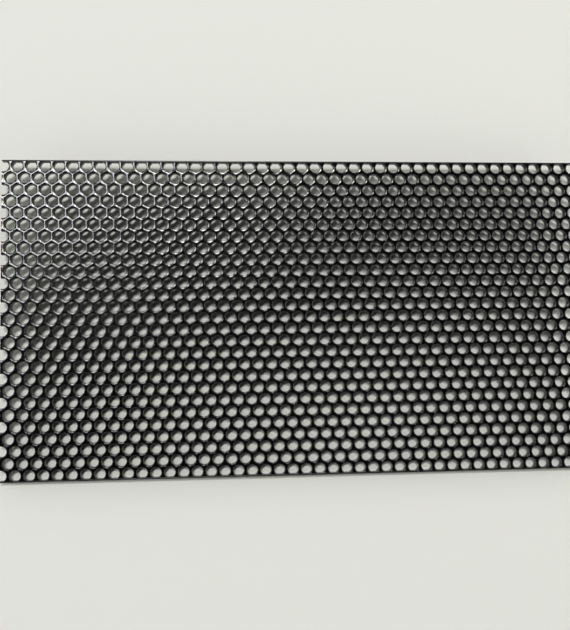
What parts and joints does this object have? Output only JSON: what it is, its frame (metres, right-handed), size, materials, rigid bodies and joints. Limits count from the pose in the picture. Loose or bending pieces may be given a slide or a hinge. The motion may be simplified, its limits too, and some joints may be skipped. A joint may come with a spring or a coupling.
{
  "type": "honeycomb grid",
  "caption": "Thin black slice of tubular honeycomb that narrows the beam of a studio lamp: rows of fused round-bored tubes with a flat strip along each long edge.",
  "frame": {"origin": "middle of the sheet's bottom face", "axes": "+Z along the tubes, out of the top face; +X along the rows of tubes; +Y across the rows"},
  "size_m": [0.1728, 0.0938, 0.002],
  "materials": {
    "tube": "gloss black moulded polycarbonate",
    "edge_strip": "satin black polycarbonate strip"
  },
  "bodies": {
    "root": {"tube_row_01": "tube", "tube_row_02": "tube", "tube_row_03": "tube", "tube_row_04": "tube", "tube_row_05": "tube", "tube_row_06": "tube", "tube_row_07": "tube", "tube_row_08": "tube", "tube_row_09": "tube", "tube_row_10": "tube", "tube_row_11": "tube", "tube_row_12": "tube", "tube_row_13": "tube", "tube_row_14": "tube", "tube_row_15": "tube", "tube_row_16": "tube", "tube_row_17": "tube", "tube_row_18": "tube", "tube_row_19": "tube", "tube_row_20": "tube", "tube_row_21": "tube", "tube_row_22": "tube", "tube_row_23": "tube", "tube_row_24": "tube", "tube_row_25": "tube", "tube_row_26": "tube", "tube_row_27": "tube", "front_edge_strip": "edge_strip", "rear_edge_strip": "edge_strip"}
  },
  "joints": []
}
